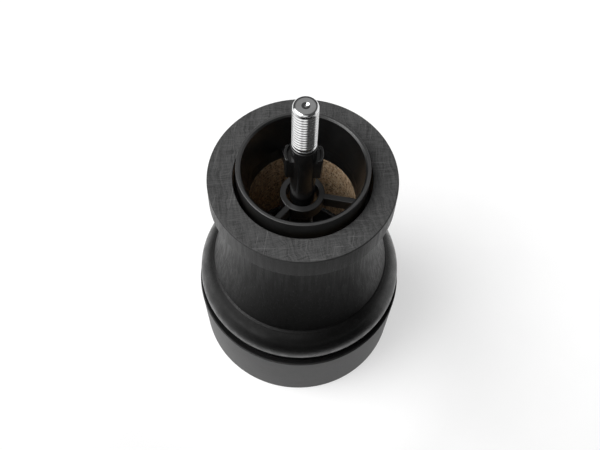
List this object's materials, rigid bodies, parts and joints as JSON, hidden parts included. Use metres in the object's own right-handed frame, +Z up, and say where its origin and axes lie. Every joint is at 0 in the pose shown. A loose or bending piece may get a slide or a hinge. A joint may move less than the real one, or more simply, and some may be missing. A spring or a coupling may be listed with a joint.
{
  "type": "pepper mill body",
  "caption": "Turned wooden pepper mill body without its head, with a spoked collar, threaded drive shaft, conical burrs and an adjusting ring at the base.",
  "frame": {"origin": "centre of the base, on the surface it stands on", "axes": "+Z up along the shaft; -Y is the front"},
  "size_m": [0.0776, 0.0776, 0.1385],
  "materials": {
    "stained_wood": "satin black stain over open grain",
    "black_plastic": "satin",
    "sleeve_plastic": "semi-gloss",
    "housing_plastic": "moulded matte",
    "ring_plastic": "smooth satin",
    "pale_plastic": "natural",
    "bright_steel": "turned and polished",
    "plate_steel": "stamped",
    "spring_steel": "drawn wire",
    "burr_steel": "hardened and ground",
    "brass": "turned",
    "fibre": "pressed fibre"
  },
  "bodies": {
    "root": {"wood_body": "stained_wood", "neck_liner": "black_plastic", "spring_bridge": "plate_steel", "guide_bush": "pale_plastic", "grind_spring": "spring_steel", "burr_housing": "housing_plastic", "fixed_burr": "burr_steel", "burr_retainer": "plate_steel", "retainer_screws": "bright_steel", "body_screws": "bright_steel", "ring_clip": "spring_steel", "friction_ring": "fibre", "stop_pin": "bright_steel", "click_ball": "bright_steel", "click_spring": "spring_steel"},
    "ring": {"adjusting_ring": "ring_plastic"},
    "carrier": {"bearing_carrier": "housing_plastic", "bearing_cup": "brass", "thrust_ball": "bright_steel"},
    "drive": {"drive_shaft": "bright_steel", "drive_sleeve": "sleeve_plastic", "sleeve_clip": "spring_steel", "spring_washer": "bright_steel", "turning_burr": "burr_steel", "burr_clip": "spring_steel"}
  },
  "joints": [
    {"name": "ring_turn", "type": "hinge", "parent": "root", "child": "ring", "pos_m": [0, 0, 0.014], "axis": [0, 0, 1], "range_deg": [0, 150]},
    {"name": "carrier_slide", "type": "slide", "parent": "root", "child": "carrier", "axis": [0, 0, 1], "range_m": [0, 0.0012], "deforming": ["grind_spring"]},
    {"name": "drive_spin", "type": "hinge", "parent": "carrier", "child": "drive", "pos_m": [0, 0, 0.0124], "axis": [0, 0, 1], "continuous": true}
  ],
  "couplings": [
    {"joint": "carrier_slide", "follows": "ring_turn", "m_per_rad": 0.00045836}
  ]
}
